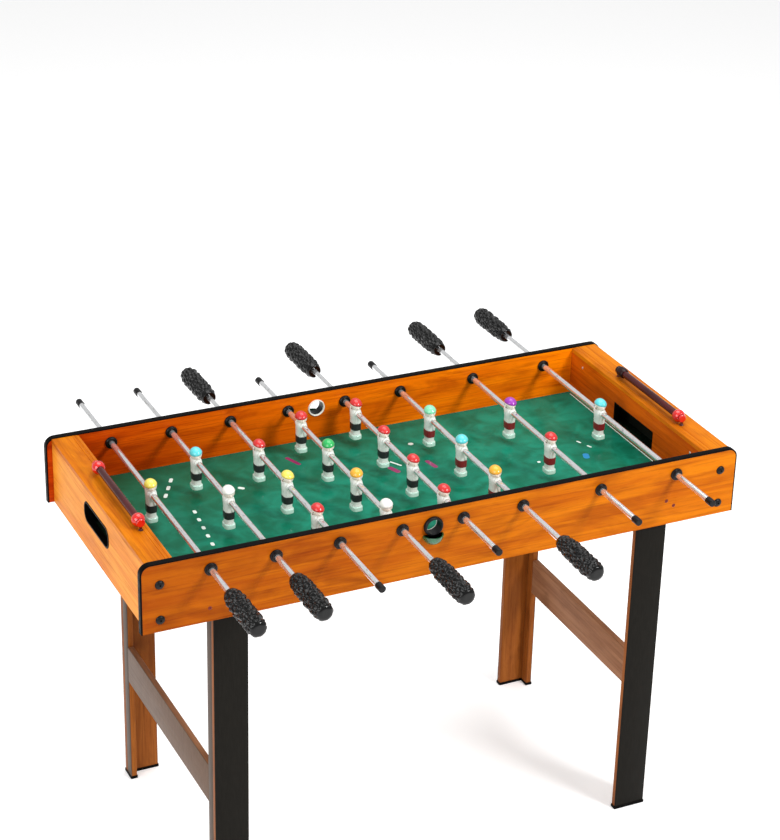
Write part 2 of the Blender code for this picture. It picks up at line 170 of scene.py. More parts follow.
softbox("key", (1.5, -2.5, 2.6), 0.9, 84)
softbox("fill", (-2.6, -1.3, 1.7), 2.2, 44)
softbox("overhead", (0.2, 0.5, 3.1), 2.6, 50)

WORLD_STRENGTH = 0.55

world = bpy.data.worlds.new("studio")
world.use_nodes = True
background = world.node_tree.nodes["Background"]
background.inputs["Color"].default_value = (1, 1, 1, 1)
background.inputs["Strength"].default_value = WORLD_STRENGTH
bpy.context.scene.world = world
bpy.context.scene.view_settings.view_transform = "Standard"

# ----------------------------------
# Side boards. Nine millimetre particle board under a printed orange wood laminate, the grain running along
# the table. They are bored for the eight rods and the serve hole.


def here_in(tree):
    """The shaded point, in the table's coordinates."""
    return add(tree, "TexCoord", {}).outputs["Object"]


def noise(tree, vector, stretch, detail, distortion=0.0):
    """Noise over a point stretched by a factor for each axis."""
    scaled = add(tree, "VectorMath", {0: vector, 1: stretch}, operation="MULTIPLY").outputs[0]
    inputs = {"Vector": scaled, "Scale": 1.0, "Detail": detail, "Distortion": distortion}
    return add(tree, "TexNoise", inputs).outputs[0]


def ramp(tree, value, low, high, start=0.0, end=1.0):
    """The value moved from low..high to start..end, and held there outside."""
    inputs = {"Value": value, 1: low, 2: high, 3: start, 4: end}
    return add(tree, "MapRange", inputs).outputs[0]


def blend_colors(tree, share, first, second):
    """first where share is 0, second where it is 1."""
    inputs = {"Factor": share, 6: first, 7: second}
    return add(tree, "Mix", inputs, data_type="RGBA").outputs[2]


def times(tree, first, second):
    """The product of two values."""
    return add(tree, "Math", {0: first, 1: second}, operation="MULTIPLY").outputs[0]


def wood_print_group():
    """The printed wood: long pale and dark streaks, short fine pores and soft brown clouds, all drawn out
    along the X of the grain vector."""
    group = bpy.data.node_groups.new("wood_print", "ShaderNodeTree")
    for way, label, kind in (
        ("INPUT", "Grain", "Vector"),
        ("INPUT", "Light", "Color"),
        ("INPUT", "Middle", "Color"),
        ("INPUT", "Dark", "Color"),
        ("INPUT", "Clouds", "Float"),
        ("OUTPUT", "Color", "Color"),
        ("OUTPUT", "Roughness", "Float"),
        ("OUTPUT", "Height", "Float"),
    ):
        group.interface.new_socket(label, in_out=way, socket_type="NodeSocket" + kind)
    given = group.nodes.new("NodeGroupInput").outputs
    puts = group.nodes.new("NodeGroupOutput").inputs
    grain = given["Grain"]
    bands = noise(group, grain, (5, 62, 62), 5, 0.7)
    streaks = noise(group, grain, (13, 420, 420), 4)
    pores = noise(group, grain, (70, 1500, 1500), 2)
    clouds = noise(group, grain, (8, 26, 26), 5, 1.4)
    base = blend_colors(group, ramp(group, bands, 0.38, 0.64), given["Light"], given["Middle"])
    streaked = blend_colors(group, ramp(group, streaks, 0.5, 0.78, 0, 0.55), base, given["Dark"])
    clouded = ramp(group, clouds, 0.5, 0.74)
    shaded = blend_colors(group, times(group, clouded, given["Clouds"]), streaked, given["Dark"])
    pored = blend_colors(group, ramp(group, pores, 0.6, 0.72, 0, 0.35), shaded, given["Dark"])
    group.links.new(pored, puts["Color"])
    group.links.new(ramp(group, streaks, 0.3, 0.7, 0.3, 0.42), puts["Roughness"])
    group.links.new(ramp(group, pores, 0.55, 0.75, 1, 0), puts["Height"])
    return group


WOOD_PRINT = wood_print_group()
PORE_DEPTH = 0.05 * MM
GRAIN_TURNS = {"X": (0, 0, 0), "Y": (0, 0, -math.pi / 2), "Z": (0, math.pi / 2, 0)}


def wood(name, light, middle, dark, along, clouds=0.5):
    """A laminate with the wood print, its grain along one axis. Returns (material, tree, shader, print)."""
    material, tree, shader = finish(name, middle, 0.36, Specular_IOR_Level=0.045)
    inputs = {"Vector": here_in(tree), "Rotation": GRAIN_TURNS[along]}
    grain = add(tree, "Mapping", inputs).outputs[0]
    wood_print = tree.nodes.new("ShaderNodeGroup")
    wood_print.node_tree = WOOD_PRINT
    tree.links.new(grain, wood_print.inputs["Grain"])
    for label, color in (("Light", light), ("Middle", middle), ("Dark", dark)):
        wood_print.inputs[label].default_value = (*color, 1)
    wood_print.inputs["Clouds"].default_value = clouds
    tree.links.new(wood_print.outputs["Color"], shader.inputs["Base Color"])
    tree.links.new(wood_print.outputs["Roughness"], shader.inputs["Roughness"])
    inputs = {"Strength": 0.25, "Distance": PORE_DEPTH, "Height": wood_print.outputs["Height"]}
    tree.links.new(add(tree, "Bump", inputs).outputs[0], shader.inputs["Normal"])
    return material, tree, shader, wood_print.outputs["Color"]


def repaint(node, material):
    """The CAD node keeps its shape and gets this material."""
    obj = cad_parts[node]
    obj.data.materials.clear()
    obj.data.materials.append(material)


def place_along(tree, axis):
    """Where the shaded point lies along an axis of the table."""
    return add(tree, "SeparateXYZ", {"Vector": here_in(tree)}).outputs[axis]


def from_middle(tree, axis):
    """How far the shaded point is from the table's middle along an axis."""
    return add(tree, "Math", {0: place_along(tree, axis)}, operation="ABSOLUTE").outputs[0]


# Painted light: the print is darker and redder at the left, brighter and more orange at the right, and
# brighter and redder on the inner faces, standing in for the key light from the right and the shade of the
# box
OUTER_LIGHT_TINTS = (0.78, 0.68, 0.5, 1), (1.26, 1.36, 0.7, 1)
INNER_LIGHT_TINTS = (1.1, 0.45, 0.2, 1), (2.2, 2.1, 0.4, 1)
TINT_REACH = 400 * MM  # from the table's middle to where a tint is at its full
ENDS_Y = {"front": -1, "back": 1}
SIDES_X = {"left": -1, "right": 1}

side_wood, tree, shader, printed = wood(
    "side_board_laminate", (0.5, 0.128, 0.003), (0.38, 0.078, 0.002), (0.16, 0.02, 0.001), "X", 0.6
)
inner_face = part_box("back_side_board")[0][1]
inside = ramp(tree, from_middle(tree, "Y"), inner_face + 0.5 * MM, inner_face + 0.6 * MM, 1, 0)
# Painted light: the print is multiplied by tints that brighten it towards the right and on the inner faces
to_right = ramp(tree, place_along(tree, "X"), -TINT_REACH, TINT_REACH)
outer_painted_light = blend_colors(tree, to_right, *OUTER_LIGHT_TINTS)
inner_painted_light = blend_colors(tree, to_right, *INNER_LIGHT_TINTS)
inputs = {"Factor": 1.0, 6: printed, 7: blend_colors(tree, inside, outer_painted_light, inner_painted_light)}
lit_print = add(tree, "Mix", inputs, data_type="RGBA", blend_type="MULTIPLY").outputs[2]
tree.links.new(lit_print, shader.inputs["Base Color"])
for end in ENDS_Y:
    repaint(f"{end}_side_board", side_wood)

# ----------------------------------
# Edge trim. A black plastic moulding pressed over the edge of each side board: up the end, round the top
# corner, along the top and down again. Its lips lap over both faces of the board.

TRIM_CORNER = 14 * MM
TRIM_LIP = 2.4 * MM
TRIM_ROUND = 1.0 * MM
CORNER_STEPS = 12


def vary_roughness(tree, shader, stretch, detail, smooth, rough, low=0.3):
    """Roughness that wanders from smooth to rough, as a noise rises from low to 0.7."""
    wander = noise(tree, here_in(tree), stretch, detail)
    tree.links.new(ramp(tree, wander, low, 0.7, smooth, rough), shader.inputs["Roughness"])


def corners_of(node):
    """The low and the high corner of a CAD node's box."""
    return (np.array(corner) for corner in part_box(node))


trim_black, tree, shader = finish("trim_plastic", (0.002, 0.0016, 0.0014), 0.45, Specular_IOR_Level=0.04)
vary_roughness(tree, shader, (130, 130, 130), 4, 0.3, 0.52, 0.35)


def rounded_outline(width, height, radius, steps=6):
    """A rectangle with round corners, anticlockwise: four quarter circles about the corners' centres."""
    quarter = np.linspace(0, np.pi / 2, steps)
    angles = np.concatenate([quarter + turn * np.pi / 2 for turn in range(4)])
    corners = np.repeat(CORNERS, steps, axis=0)
    centres = corners * (width / 2 - radius, height / 2 - radius)
    return centres + radius * np.column_stack([np.cos(angles), np.sin(angles)])


def edge_path(low, high, radius, steps):
    """(x, z) points and outward normals up one end, over the rounded top and down the other end."""
    turn = np.linspace(0, np.pi / 2, steps)
    left = np.column_stack([-np.cos(turn), np.sin(turn)])
    right = left[::-1] * (-1, 1)
    normals = np.concatenate([left[:1], left, right, right[-1:]])
    centres = np.concatenate([
        [(low[0] + radius, low[1])],
        np.repeat([(low[0] + radius, high[1] - radius)], steps, axis=0),
        np.repeat([(high[0] - radius, high[1] - radius)], steps, axis=0),
        [(high[0] - radius, low[1])],
    ])
    return centres + radius * normals, normals


for end in ENDS_Y:
    low, high = corners_of(f"{end}_edge_trim")
    path, normals = edge_path(low[[0, 2]], high[[0, 2]], TRIM_CORNER, CORNER_STEPS)
    section = rounded_outline(TRIM_LIP, high[1] - low[1], TRIM_ROUND)
    depth, across = section[:, 0] - TRIM_LIP / 2, section[:, 1] + (low[1] + high[1]) / 2
    flat = path[:, None] + normals[:, None] * depth[:, None]
    rings = np.stack([flat[..., 0], np.broadcast_to(across, flat.shape[:2]), flat[..., 1]], axis=-1)
    trim = place(f"{end}_trim_moulding", [(skin(rings), trim_black)])
    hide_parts(f"{end}_edge_trim")
    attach(trim, "cabinet")

# ----------------------------------
# Rod bushings. Black nylon spools through the side boards, one at each rod hole: a stepped collar outside,
# a slimmer one inside.

BUSHING_RADIUS = 8.6 * MM
BUSHING_BORE = 4.5 * MM
BUSHING_SLEEVE = 5.6 * MM
BUSHING_STEP = 6.9 * MM
BUSHING_OUTSIDE = 5.0 * MM
BUSHING_INSIDE = 4.0 * MM
BUSHING_STEP_LENGTH = 2.2 * MM
BUSHING_SHOULDER = 2.8 * MM
BUSHING_SLOPE = 1.6 * MM
BUSHING_EASE = 0.5 * MM
ROUND_SIDES = 40

ROLES = [name[: -len("_rod")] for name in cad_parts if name.endswith("_rod")]


def eased(points, ease, steps=5):
    """A broken line with rounded corners: each corner becomes a parabola between the points an ease away
    on both of its sides."""
    points = np.asarray(points, float)
    corner = points[1:-1]
    back, on = points[:-2] - corner, points[2:] - corner
    back_length = np.linalg.norm(back, axis=1, keepdims=True)
    on_length = np.linalg.norm(on, axis=1, keepdims=True)
    start = corner + back / back_length * np.minimum(ease, back_length * 0.45)
    stop = corner + on / on_length * np.minimum(ease, on_length * 0.45)
    t = np.linspace(0, 1, steps)[None, :, None]
    curve = (1 - t) ** 2 * start[:, None] + 2 * t * (1 - t) * corner[:, None] + t**2 * stop[:, None]
    return np.concatenate([points[:1], curve.reshape(-1, points.shape[1]), points[-1:]])


def turned(profile, centre, axis="Y", sides=ROUND_SIDES):
    """Rings of a turned shape: each (radius, place along the axis) of the profile is carried round it."""
    profile = np.asarray(profile, float)
    angles = np.arange(sides) * 2 * np.pi / sides
    first = profile[:, :1] * np.cos(angles)
    second = profile[:, :1] * np.sin(angles)
    along = np.broadcast_to(profile[:, 1:], first.shape)
    order = {"X": (along, first, second), "Y": (first, along, second), "Z": (first, second, along)}
    return np.stack(order[axis], axis=-1) + np.asarray(centre)


def middle_of(node):
    """The middle of a CAD node's box."""
    low, high = corners_of(node)
    return (low + high) / 2


bushing_black, tree, shader = finish(
    "bushing_nylon", (0.0035, 0.003, 0.0035), 0.3, Specular_IOR_Level=0.22
)
vary_roughness(tree, shader, (400, 90, 400), 3, 0.26, 0.46)

for end, way in ENDS_Y.items():
    low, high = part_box(f"{end}_side_board")
    half = (high[1] - low[1]) / 2
    board_y = (high[1] + low[1]) / 2
    for number, role in enumerate(ROLES, 1):
        axis = middle_of(f"{role}_rod")
        out, into = half + BUSHING_OUTSIDE, -half - BUSHING_INSIDE
        profile = [
            (BUSHING_BORE, out),
            (BUSHING_STEP, out),
            (BUSHING_STEP, out - BUSHING_STEP_LENGTH),
            (BUSHING_RADIUS, out - BUSHING_SHOULDER),
            (BUSHING_RADIUS, half),
            (BUSHING_SLEEVE, half - MM),
            (BUSHING_SLEEVE, MM - half),
            (BUSHING_RADIUS, -half),
            (BUSHING_RADIUS, into + BUSHING_SLOPE),
            (BUSHING_STEP, into),
            (BUSHING_BORE, into),
        ]
        shape = turned(eased(profile, BUSHING_EASE) * (1, way), (axis[0], board_y, axis[2]))
        bushing = place(f"{end}_bushing_{number}", [(skin(shape, loop=True), bushing_black)])
        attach(bushing, "cabinet")

# ----------------------------------
# Bolt caps and screws on the side boards. Domed black caps hide the bolts that hold the end panels, two at
# each corner, and small red-brown screws hold the legs.

BOLT_CAP_RADIUS = 6.2 * MM
BOLT_CAP_RISE = 3.4 * MM
BOLT_TO_BOARD_END = 23.5 * MM
BOLT_HEIGHTS = (67 * MM, 17 * MM)
SCREW_RADIUS = 2.6 * MM
SCREW_RISE = 0.9 * MM
SCREW_SIDES = 24
SCREW_PLACES = ((-0.339, 19 * MM), (0.322, 36 * MM), (0.334, 27 * MM))

screw_brown, _, _ = finish("browned_steel", (0.16, 0.022, 0.012), 0.35, Metallic=0.6)


def dome(radius, rise, recess):
    """Profile of a domed head: most of a quarter ellipse from the rim up, then a round recess in the top
    whose radius is a share of the head's."""
    turn = np.linspace(0, np.pi / 2 * 0.86, 9)
    shell = np.column_stack([radius * np.cos(turn), rise * np.sin(turn)])
    bottom = rise * 0.45
    pit = [(radius * recess, rise * 0.9), (radius * recess * 0.8, bottom), (0.02 * MM, bottom)]
    return np.concatenate([[(radius, -0.4 * MM)], shell, pit])


def heads_at(places, profile, material, axis="Y", sides=SCREW_SIDES):
    """(skin, material) of the same turned head at each place."""
    return [(skin(turned(profile, at, axis, sides)), material) for at in places]


for end, way in ENDS_Y.items():
    low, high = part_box(f"{end}_side_board")
    face = low[1] if way < 0 else high[1]
    cap_xs = low[0] + BOLT_TO_BOARD_END, high[0] - BOLT_TO_BOARD_END
    cap_places = [(x, face, low[2] + height) for x in cap_xs for height in BOLT_HEIGHTS]
    cap_dome = dome(BOLT_CAP_RADIUS, BOLT_CAP_RISE, 0.3) * (1, way)
    caps = place(f"{end}_bolt_caps", heads_at(cap_places, cap_dome, bushing_black, sides=ROUND_SIDES))
    screw_places = [(-way * x, face, low[2] + height) for x, height in SCREW_PLACES]
    screw_dome = dome(SCREW_RADIUS, SCREW_RISE, 0.45) * (1, way)
    screws = place(f"{end}_leg_screws", heads_at(screw_places, screw_dome, screw_brown))
    for piece in (caps, screws):
        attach(piece, "cabinet")

# ----------------------------------
# End panels. Nine millimetre board with the laminate on the outside only, the grain across the table. The
# inner face is painted near black, as painted shade inside the end box. A black rim lines the ball slot.

SLOT_SIZE = (96 * MM, 28 * MM)
SLOT_CORNER = 12 * MM
SLOT_HEIGHT = 57 * MM
RIM_WALL = 1.1 * MM
RIM_PROUD = 0.7 * MM
# Near black painted shade for the faces inside the end and goal boxes
PAINTED_BOX_SHADE = (0.012, 0.014, 0.01, 1)

panel_wood, tree, shader, printed = wood(
    "end_panel_laminate", (0.8, 0.3, 0.03), (0.68, 0.2, 0.015), (0.34, 0.07, 0.006), "Y", 0.35
)
# Painted shade: the inner face of the panel, in the end box's shade, is painted near black
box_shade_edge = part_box("right_end_panel")[0][0] + 2 * MM
laminated = ramp(tree, from_middle(tree, "X"), box_shade_edge - 0.05 * MM, box_shade_edge + 0.05 * MM)
tree.links.new(blend_colors(tree, laminated, PAINTED_BOX_SHADE, printed), shader.inputs["Base Color"])


def upright(outline, x, z):
    """The points of an outline stood up across the table at x, its middle at the height z."""
    return np.column_stack([np.full(len(outline), x), outline + (0, z)])


for side, way in SIDES_X.items():
    repaint(f"{side}_end_panel", panel_wood)
    low, high = corners_of(f"{side}_end_panel")
    outside, inside = (low[0], high[0]) if way < 0 else (high[0], low[0])
    stations = eased(
        [
            (inside, 0),
            (inside, RIM_WALL),
            (outside + way * RIM_PROUD, RIM_WALL),
            (outside + way * RIM_PROUD, -1.2 * MM),
            (outside, -1.6 * MM),
            (outside - way * MM, -0.3 * MM),
            (inside, 0),
        ],
        0.3 * MM,
    )[:-1]
    rings = []
    for x, inward in stations:
        width, height = (size - 2 * inward for size in SLOT_SIZE)
        outline = rounded_outline(width, height, SLOT_CORNER - inward, 10)
        rings.append(upright(outline, x, low[2] + SLOT_HEIGHT))
    rim = place(f"{side}_slot_rim", [(skin(rings, loop=True), trim_black)])
    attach(rim, "cabinet")

# ----------------------------------
# Goal boards. Six millimetre board across the table with the goal mouth cut in it. The playing face has the
# laminate, the back is painted near black as painted shade inside the goal box, a thin black frame edges the
# mouth, and two pale screws sit near the top.

GOAL_MOUTH = (106 * MM, 34 * MM)
GOAL_SILL = 6 * MM
BOARD_GAP = 0.3 * MM  # the sill is measured from the field, which the board clears by this
FRAME_WALL = 1.3 * MM
FRAME_STEP = 0.5 * MM
FRAME_CORNER = 1.5 * MM
GOAL_SCREW_RADIUS = 2.2 * MM
GOAL_SCREW_RISE = 0.7 * MM
GOAL_SCREW_INSET = 34 * MM
GOAL_SCREW_DROP = 12 * MM
GOAL_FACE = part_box("right_goal_board")[0][0]

goal_wood, tree, shader, printed = wood(
    "goal_board_laminate", (0.66, 0.12, 0.003), (0.52, 0.08, 0.002), (0.23, 0.027, 0.001), "Y"
)
# Painted shade: the back of the goal board, in the goal box's shade, is painted near black
behind = ramp(tree, from_middle(tree, "X"), GOAL_FACE + 1.0 * MM, GOAL_FACE + 1.1 * MM)
tree.links.new(blend_colors(tree, behind, printed, PAINTED_BOX_SHADE), shader.inputs["Base Color"])
pale_steel, _, _ = finish("zinc_screw", (0.74, 0.7, 0.64), 0.32, Metallic=0.85)

for side, way in SIDES_X.items():
    repaint(f"{side}_goal_board", goal_wood)
    low, high = corners_of(f"{side}_goal_board")
    face, back = (high[0], low[0]) if way < 0 else (low[0], high[0])
    mouth_z = low[2] + GOAL_SILL - BOARD_GAP + GOAL_MOUTH[1] / 2
    rings = []
    for x, inward in (
        (back, 0),
        (back, FRAME_WALL),
        (face - way * FRAME_STEP, FRAME_WALL),
        (face - way * FRAME_STEP, -0.6 * MM),
        (face, -0.8 * MM),
        (face + way * FRAME_STEP, 0),
    ):
        width, height = (size - 2 * inward for size in GOAL_MOUTH)
        rings.append(upright(rounded_outline(width, height, FRAME_CORNER, 4), x, mouth_z))
    mouth = place(f"{side}_goal_frame", [(skin(rings, loop=True), trim_black)])
    screw_ys = low[1] + GOAL_SCREW_INSET, high[1] - GOAL_SCREW_INSET
    screw_places = [(face, y, high[2] - GOAL_SCREW_DROP) for y in screw_ys]
    screw_dome = dome(GOAL_SCREW_RADIUS, GOAL_SCREW_RISE, 0.4) * (1, -way)
    screws = place(f"{side}_goal_screws", heads_at(screw_places, screw_dome, pale_steel, "X"))
    for piece in (mouth, screws):
        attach(piece, "cabinet")

# ----------------------------------
# End decks. A moulded laminate board closes the top of each end box. Its inner edge is rounded, and two
# fine grooves run beside it, across the table.

DECK_EDGE = 2.4 * MM
GROOVE_DEPTH = 0.8 * MM
GROOVES = (6 * MM, 11 * MM)  # from the inner edge
GROOVE_HALF = 0.55 * MM

deck_wood = wood(
    "deck_laminate", (0.64, 0.19, 0.004), (0.5, 0.122, 0.003), (0.23, 0.036, 0.002), "Y"
)[0]
for side, way in SIDES_X.items():
    low, high = corners_of(f"{side}_end_deck")
    inner, outer = (high[0], low[0]) if way < 0 else (low[0], high[0])
    top = [(inner, low[2]), (inner, high[2])]
    for groove in GROOVES:
        top += [
            (inner + way * (groove - GROOVE_HALF), high[2]),
            (inner + way * groove, high[2] - GROOVE_DEPTH),
            (inner + way * (groove + GROOVE_HALF), high[2]),
        ]
    top += [(outer, high[2]), (outer, low[2]), (inner, low[2])]
    outline = eased(top, 0.3 * MM, 4)
    from_corner = np.abs(outline - (inner, high[2])).sum(axis=1)
    cut = np.clip(DECK_EDGE - from_corner, 0, None)
    outline[:, 0] += way * cut * 0.5
    outline[:, 1] -= cut * 0.5
    rings = [
        np.column_stack([outline[:-1, 0], np.full(len(outline) - 1, y), outline[:-1, 1]])
        for y in (low[1], high[1])
    ]
    deck = place(f"{side}_deck_board", [(skin(rings), deck_wood)], crease=28)
    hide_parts(f"{side}_end_deck")
    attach(deck, "cabinet")

# ----------------------------------
# Playfield. Four millimetre hardboard, glossy printed green above and plain brown below. The print is a
# little uneven. It grows darker towards the back left, partly painted shade and partly uneven print, and is
# painted near black inside the goal boxes as painted shade.

_, FIELD_EDGE, FIELD_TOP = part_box("playfield")[1]

field_green, tree, shader = finish("printed_field", (0.01, 0.2, 0.12), 0.2, Specular_IOR_Level=0.06)
here = here_in(tree)
mottle = noise(tree, here, (34, 34, 34), 5, 0.5)
large = noise(tree, here, (6, 9, 6), 2)
patches = ramp(tree, mottle, 0.35, 0.68)
green = blend_colors(tree, patches, (0.006, 0.12, 0.065, 1), (0.01, 0.22, 0.135, 1))
# Darker towards the back left: partly painted shade, partly uneven print
inputs = {0: place_along(tree, "Y"), 1: times(tree, place_along(tree, "X"), 0.5)}
shade_to_back_left = ramp(tree, add(tree, "Math", inputs, operation="SUBTRACT").outputs[0], 0.06, 0.36, 0, 0.75)
painted_shade_share = times(tree, shade_to_back_left, ramp(tree, large, 0.2, 0.6, 0.6, 1))
green = blend_colors(tree, painted_shade_share, green, (0.018, 0.07, 0.026, 1))
# Painted shade: the field inside each goal box is painted near black
shade_in_goal = ramp(tree, from_middle(tree, "X"), GOAL_FACE, GOAL_FACE + 3 * MM)
green = blend_colors(tree, shade_in_goal, green, (0.006, 0.014, 0.008, 1))
above = ramp(tree, place_along(tree, "Z"), FIELD_TOP - 0.6 * MM, FIELD_TOP - 0.5 * MM)
hardboard = blend_colors(tree, mottle, (0.16, 0.075, 0.03, 1), (0.22, 0.11, 0.05, 1))
tree.links.new(blend_colors(tree, above, hardboard, green), shader.inputs["Base Color"])
gloss = ramp(tree, noise(tree, here, (60, 60, 60), 4), 0.3, 0.7, 0.13, 0.26)
roughness = add(tree, "Mix", {"Factor": above, 2: 0.8, 3: gloss}).outputs[0]
tree.links.new(roughness, shader.inputs["Roughness"])
repaint("playfield", field_green)

# ----------------------------------
# Pitch print. Thin white, magenta and blue dashes and dots printed on the green: broken lines before the
# left goal, short marks in the middle and before the right goal, and a line along each goal.

PRINT_LIFT = 0.12 * MM
PRINT_SINK = 0.2 * MM
white_ink, _, _ = finish("white_ink", (0.74, 0.83, 0.78), 0.3)
magenta_ink, _, _ = finish("magenta_ink", (0.26, 0.02, 0.11), 0.3)
blue_ink, _, _ = finish("blue_ink", (0.0, 0.23, 0.5), 0.3)


def dash(x, y, length, width, heading):
    """A slim slab with round ends lying on the field, its length turned by heading from +X."""
    outline = rounded_outline(length, width, width * 0.45, 5)
    turn = math.radians(heading)
    spin = np.array([(math.cos(turn), math.sin(turn)), (-math.sin(turn), math.cos(turn))])
    flat = outline @ spin + (x, y)
    levels = FIELD_TOP - PRINT_SINK, FIELD_TOP + PRINT_LIFT
    return skin([np.column_stack([flat, np.full(len(flat), z)]) for z in levels])


def broken_line(first, last, count, length, width):
    """Dashes spaced evenly between two points, each along the line."""
    heading = math.degrees(math.atan2(last[1] - first[1], last[0] - first[0]))
    return [dash(*at, length, width, heading) for at in np.linspace(first, last, count)]


GOAL_LINE = 379.5 * MM
GOAL_LINE_LENGTH = FIELD_EDGE * 2 - 14 * MM

goal_lines = [dash(way * GOAL_LINE, 0, GOAL_LINE_LENGTH, 1.6 * MM, 90) for way in SIDES_X.values()]
white_marks = (
    broken_line((-0.28, -0.05), (-0.27, 0.042), 5, 9 * MM, 5 * MM)
    + broken_line((-0.29, 0.1), (-0.268, 0.14), 3, 12 * MM, 5 * MM)
    + broken_line((-0.215, 0.107), (-0.187, 0.082), 3, 10 * MM, 6 * MM)
    + broken_line((0.312, 0.03), (0.319, 0.012), 2, 8 * MM, 3 * MM)
    + [
        dash(0.086, 0.116, 8 * MM, 7 * MM, 0),
        dash(0.229, -0.004, 5 * MM, 5 * MM, 0),
        dash(0.04, 0.068, 20 * MM, 3 * MM, 120),
    ]
)
magenta_marks = [
    dash(0.086, 0.048, 26 * MM, 7 * MM, 100),
    dash(-0.09, 0.13, 30 * MM, 6 * MM, 110),
    dash(0.03, 0.052, 22 * MM, 8 * MM, 110),
]
blue_mark = dash(0.3, -0.013, 16 * MM, 9 * MM, 70)
pitch = place(
    "pitch_print",
    [(mark, white_ink) for mark in white_marks + goal_lines]
    + [(mark, magenta_ink) for mark in magenta_marks]
    + [(blue_mark, blue_ink)],
)
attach(pitch, "cabinet")

# ----------------------------------
# Serve cups. A round collar through each side board, black but for its pale inner flange, over a glossy
# half bowl that holds the next ball.

COLLAR_RADIUS = 13.6 * MM
COLLAR_BORE = 10.4 * MM
LINER = (COLLAR_BORE, 10.9 * MM)  # the bore and the outside of the tube through the board
COLLAR_OUTSIDE = 5.2 * MM
COLLAR_INSIDE = 2.2 * MM
BOWL_RADIUS = 14.4 * MM
BOWL_WALL = 1.5 * MM
BOWL_DROP = 12 * MM
BOWL_GAP = 0.4 * MM
SERVE_HEIGHT = 72 * MM


def vary_color(tree, shader, stretch, detail, first, second, low=0.35, high=0.7, most=1.0):
    """Base colour that wanders from the first to at most a share of the second, as a noise rises."""
    share = ramp(tree, noise(tree, here_in(tree), stretch, detail), low, high, 0, most)
    tree.links.new(blend_colors(tree, share, (*first, 1), (*second, 1)), shader.inputs["Base Color"])


bowl_green, tree, shader = finish(
    "bowl_plastic", (0.006, 0.09, 0.025), 0.12, Coat_Weight=0.6, Coat_Roughness=0.04
)
vary_color(tree, shader, (90, 90, 90), 3, (0.003, 0.05, 0.014), (0.008, 0.13, 0.045))
collar_pale, _, _ = finish("pale_collar", (0.78, 0.76, 0.7), 0.25)

for end, way in ENDS_Y.items():
    low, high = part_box(f"{end}_side_board")
    outside, inside = (low[1], high[1]) if way < 0 else (high[1], low[1])
    cup_low, cup_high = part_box(f"{end}_serve_cup")
    centre = np.array([(cup_low[0] + cup_high[0]) / 2, 0, low[2] + SERVE_HEIGHT])
    out, into = outside + way * COLLAR_OUTSIDE, inside - way * COLLAR_INSIDE
    black_ring = eased(
        [
            (COLLAR_BORE, outside),
            (COLLAR_BORE, out),
            (COLLAR_BORE + 2 * MM, out),
            (COLLAR_RADIUS, out - way * 2.2 * MM),
            (COLLAR_RADIUS, outside),
            (COLLAR_BORE + MM, outside - way * MM),
            (COLLAR_BORE, outside),
        ],
        0.6 * MM,
    )[:-1]
    liner = [(radius, outside) for radius in LINER] + [(radius, inside) for radius in LINER[::-1]]
    pale_ring = eased(
        [
            (COLLAR_BORE, inside),
            (COLLAR_RADIUS - 0.8 * MM, inside),
            (COLLAR_RADIUS - 1.4 * MM, into),
            (COLLAR_BORE + 0.6 * MM, into),
            (COLLAR_BORE, inside - way * 0.4 * MM),
            (COLLAR_BORE, inside),
        ],
        0.5 * MM,
    )[:-1]
    # The bowl, out and back in: half circles at each depth, closed along the board
    turn = np.linspace(0, np.pi, 33)
    dip = np.linspace(0.02, np.pi / 2, 17)
    radius = np.repeat([BOWL_RADIUS, BOWL_RADIUS - BOWL_WALL], len(dip))[:, None]
    dip = np.concatenate([dip, dip[::-1]])[:, None]
    x = centre[0] + radius * np.sin(dip) * np.cos(turn)
    y = outside + way * (BOWL_GAP + radius * np.sin(dip) * np.sin(turn))
    z = np.broadcast_to(centre[2] - BOWL_DROP - radius * np.cos(dip), x.shape)
    cup = place(
        f"{end}_cup",
        [
            (skin(turned(black_ring, centre), loop=True), bushing_black),
            (skin(turned(liner, centre), loop=True), bushing_black),
            (skin(turned(pale_ring, centre), loop=True), collar_pale),
            (skin(np.stack([x, y, z], axis=-1)), bowl_green),
        ],
    )
    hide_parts(f"{end}_serve_cup")
    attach(cup, "cabinet")

# ----------------------------------
# Legs. Two nine millimetre boards meet at each corner: the wide one faces the front or the back in charcoal
# laminate, the narrow one faces the end in grey-brown, and both are wood print inside. Black feet.

LEG_BOARD = 9 * MM
LEG_EDGE = 0.7 * MM
FOOT_HEIGHT = 4.6 * MM
FOOT_PROUD = 1.0 * MM
FOOT_EDGE = 0.9 * MM
LEG_LIFT = 0.8 * MM  # the boards stand on their feet
LEG_WOOD = ((0.3, 0.092, 0.016), (0.22, 0.06, 0.01), (0.09, 0.02, 0.004))
GREY_BROWN = (0.075, 0.053, 0.04)
CHARCOAL = (0.0085, 0.0075, 0.006)


def faced_board(name, color, axis, limit, colors=LEG_WOOD, along="Z"):
    """Wood print all round but for one plain laminate face: the face past a limit on an axis, measured from
    the table's middle."""
    material, tree, shader, printed = wood(name, *colors, along, 0.6)
    fleck = ramp(tree, noise(tree, here_in(tree), (700, 700, 60), 3), 0.35, 0.7, 0.0, 0.5)
    lighter = tuple(channel * 1.7 for channel in color)
    plain = blend_colors(tree, fleck, (*color, 1), (*lighter, 1))
    past = ramp(tree, from_middle(tree, axis), limit, limit + 0.1 * MM)
    tree.links.new(blend_colors(tree, past, printed, plain), shader.inputs["Base Color"])
    return material


leg_outer_x, leg_outer_y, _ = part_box("back_right_leg")[1]
leg_front = faced_board("charcoal_leg_face", CHARCOAL, "Y", leg_outer_y - 1.5 * MM)
leg_side = faced_board("grey_leg_side", GREY_BROWN, "X", leg_outer_x - 1.2 * MM)


